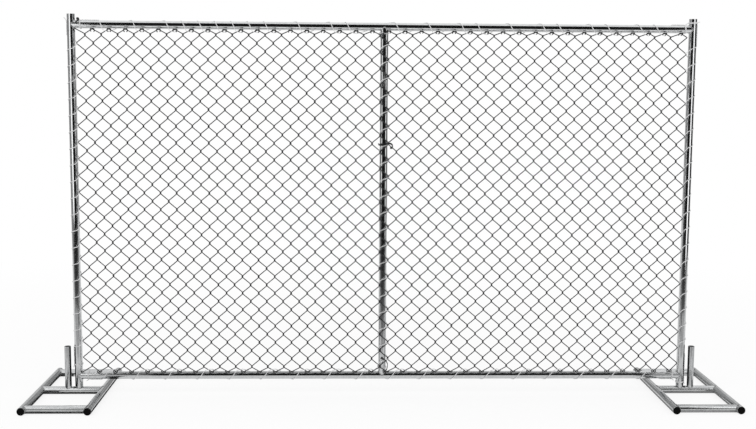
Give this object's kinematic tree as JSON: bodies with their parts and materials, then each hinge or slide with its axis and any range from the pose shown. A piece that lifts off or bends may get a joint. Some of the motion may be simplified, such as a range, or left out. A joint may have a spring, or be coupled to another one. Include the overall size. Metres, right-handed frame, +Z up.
{
  "type": "temporary fence panel",
  "caption": "Free-standing site fence panel: a galvanised pipe frame with laced chain-link mesh and a centre brace, lifted onto spigots of two pipe stands that swivel under its legs.",
  "frame": {"origin": "on the ground under the middle of the panel, in the plane of the pipe frame", "axes": "+X along the fence to the right, +Y through the fence to the rear (the mesh is on the -Y face), +Z up"},
  "size_m": [3.422, 0.762, 1.8673],
  "materials": {
    "frame_pipe": "hot-dip galvanised, bright with a fine spangle",
    "stand_pipe": "hot-dip galvanised, dull grey with pale streaks",
    "mesh_wire": "galvanised wire, satin",
    "lacing_wire": "galvanised wire, bright",
    "plug_plastic": "moulded black plastic, matt"
  },
  "bodies": {
    "panel": {"left_post": "frame_pipe", "right_post": "frame_pipe", "top_rail": "frame_pipe", "bottom_rail": "frame_pipe", "centre_brace": "frame_pipe", "chain_link_mesh": "mesh_wire", "top_lacing_wire": "lacing_wire", "bottom_lacing_wire": "lacing_wire", "left_lacing_wire": "lacing_wire", "right_lacing_wire": "lacing_wire", "centre_lacing_wire": "lacing_wire"},
    "left_spigot": {"left_stand_panel_spigot": "stand_pipe"},
    "left_stand": {"left_stand_outer_rail": "stand_pipe", "left_stand_inner_rail": "stand_pipe", "left_stand_front_cross_tube": "stand_pipe", "left_stand_middle_cross_tube": "stand_pipe", "left_stand_rear_cross_tube": "stand_pipe", "left_stand_free_spigot": "stand_pipe", "left_stand_end_plugs": "plug_plastic"},
    "right_spigot": {"right_stand_panel_spigot": "stand_pipe"},
    "right_stand": {"right_stand_outer_rail": "stand_pipe", "right_stand_inner_rail": "stand_pipe", "right_stand_front_cross_tube": "stand_pipe", "right_stand_middle_cross_tube": "stand_pipe", "right_stand_rear_cross_tube": "stand_pipe", "right_stand_free_spigot": "stand_pipe", "right_stand_end_plugs": "plug_plastic"}
  },
  "joints": [
    {"name": "left_lift_off", "type": "slide", "parent": "panel", "child": "left_spigot", "axis": [0, 0, -1], "range_m": [0, 0.25]},
    {"name": "left_swivel", "type": "hinge", "parent": "left_spigot", "child": "left_stand", "pos_m": [-1.505, 0, 0.019], "axis": [0, 0, 1], "range_deg": [-120, 120]},
    {"name": "right_lift_off", "type": "slide", "parent": "panel", "child": "right_spigot", "axis": [0, 0, -1], "range_m": [0, 0.25]},
    {"name": "right_swivel", "type": "hinge", "parent": "right_spigot", "child": "right_stand", "pos_m": [1.505, 0, 0.019], "axis": [0, 0, 1], "range_deg": [-120, 120]}
  ]
}
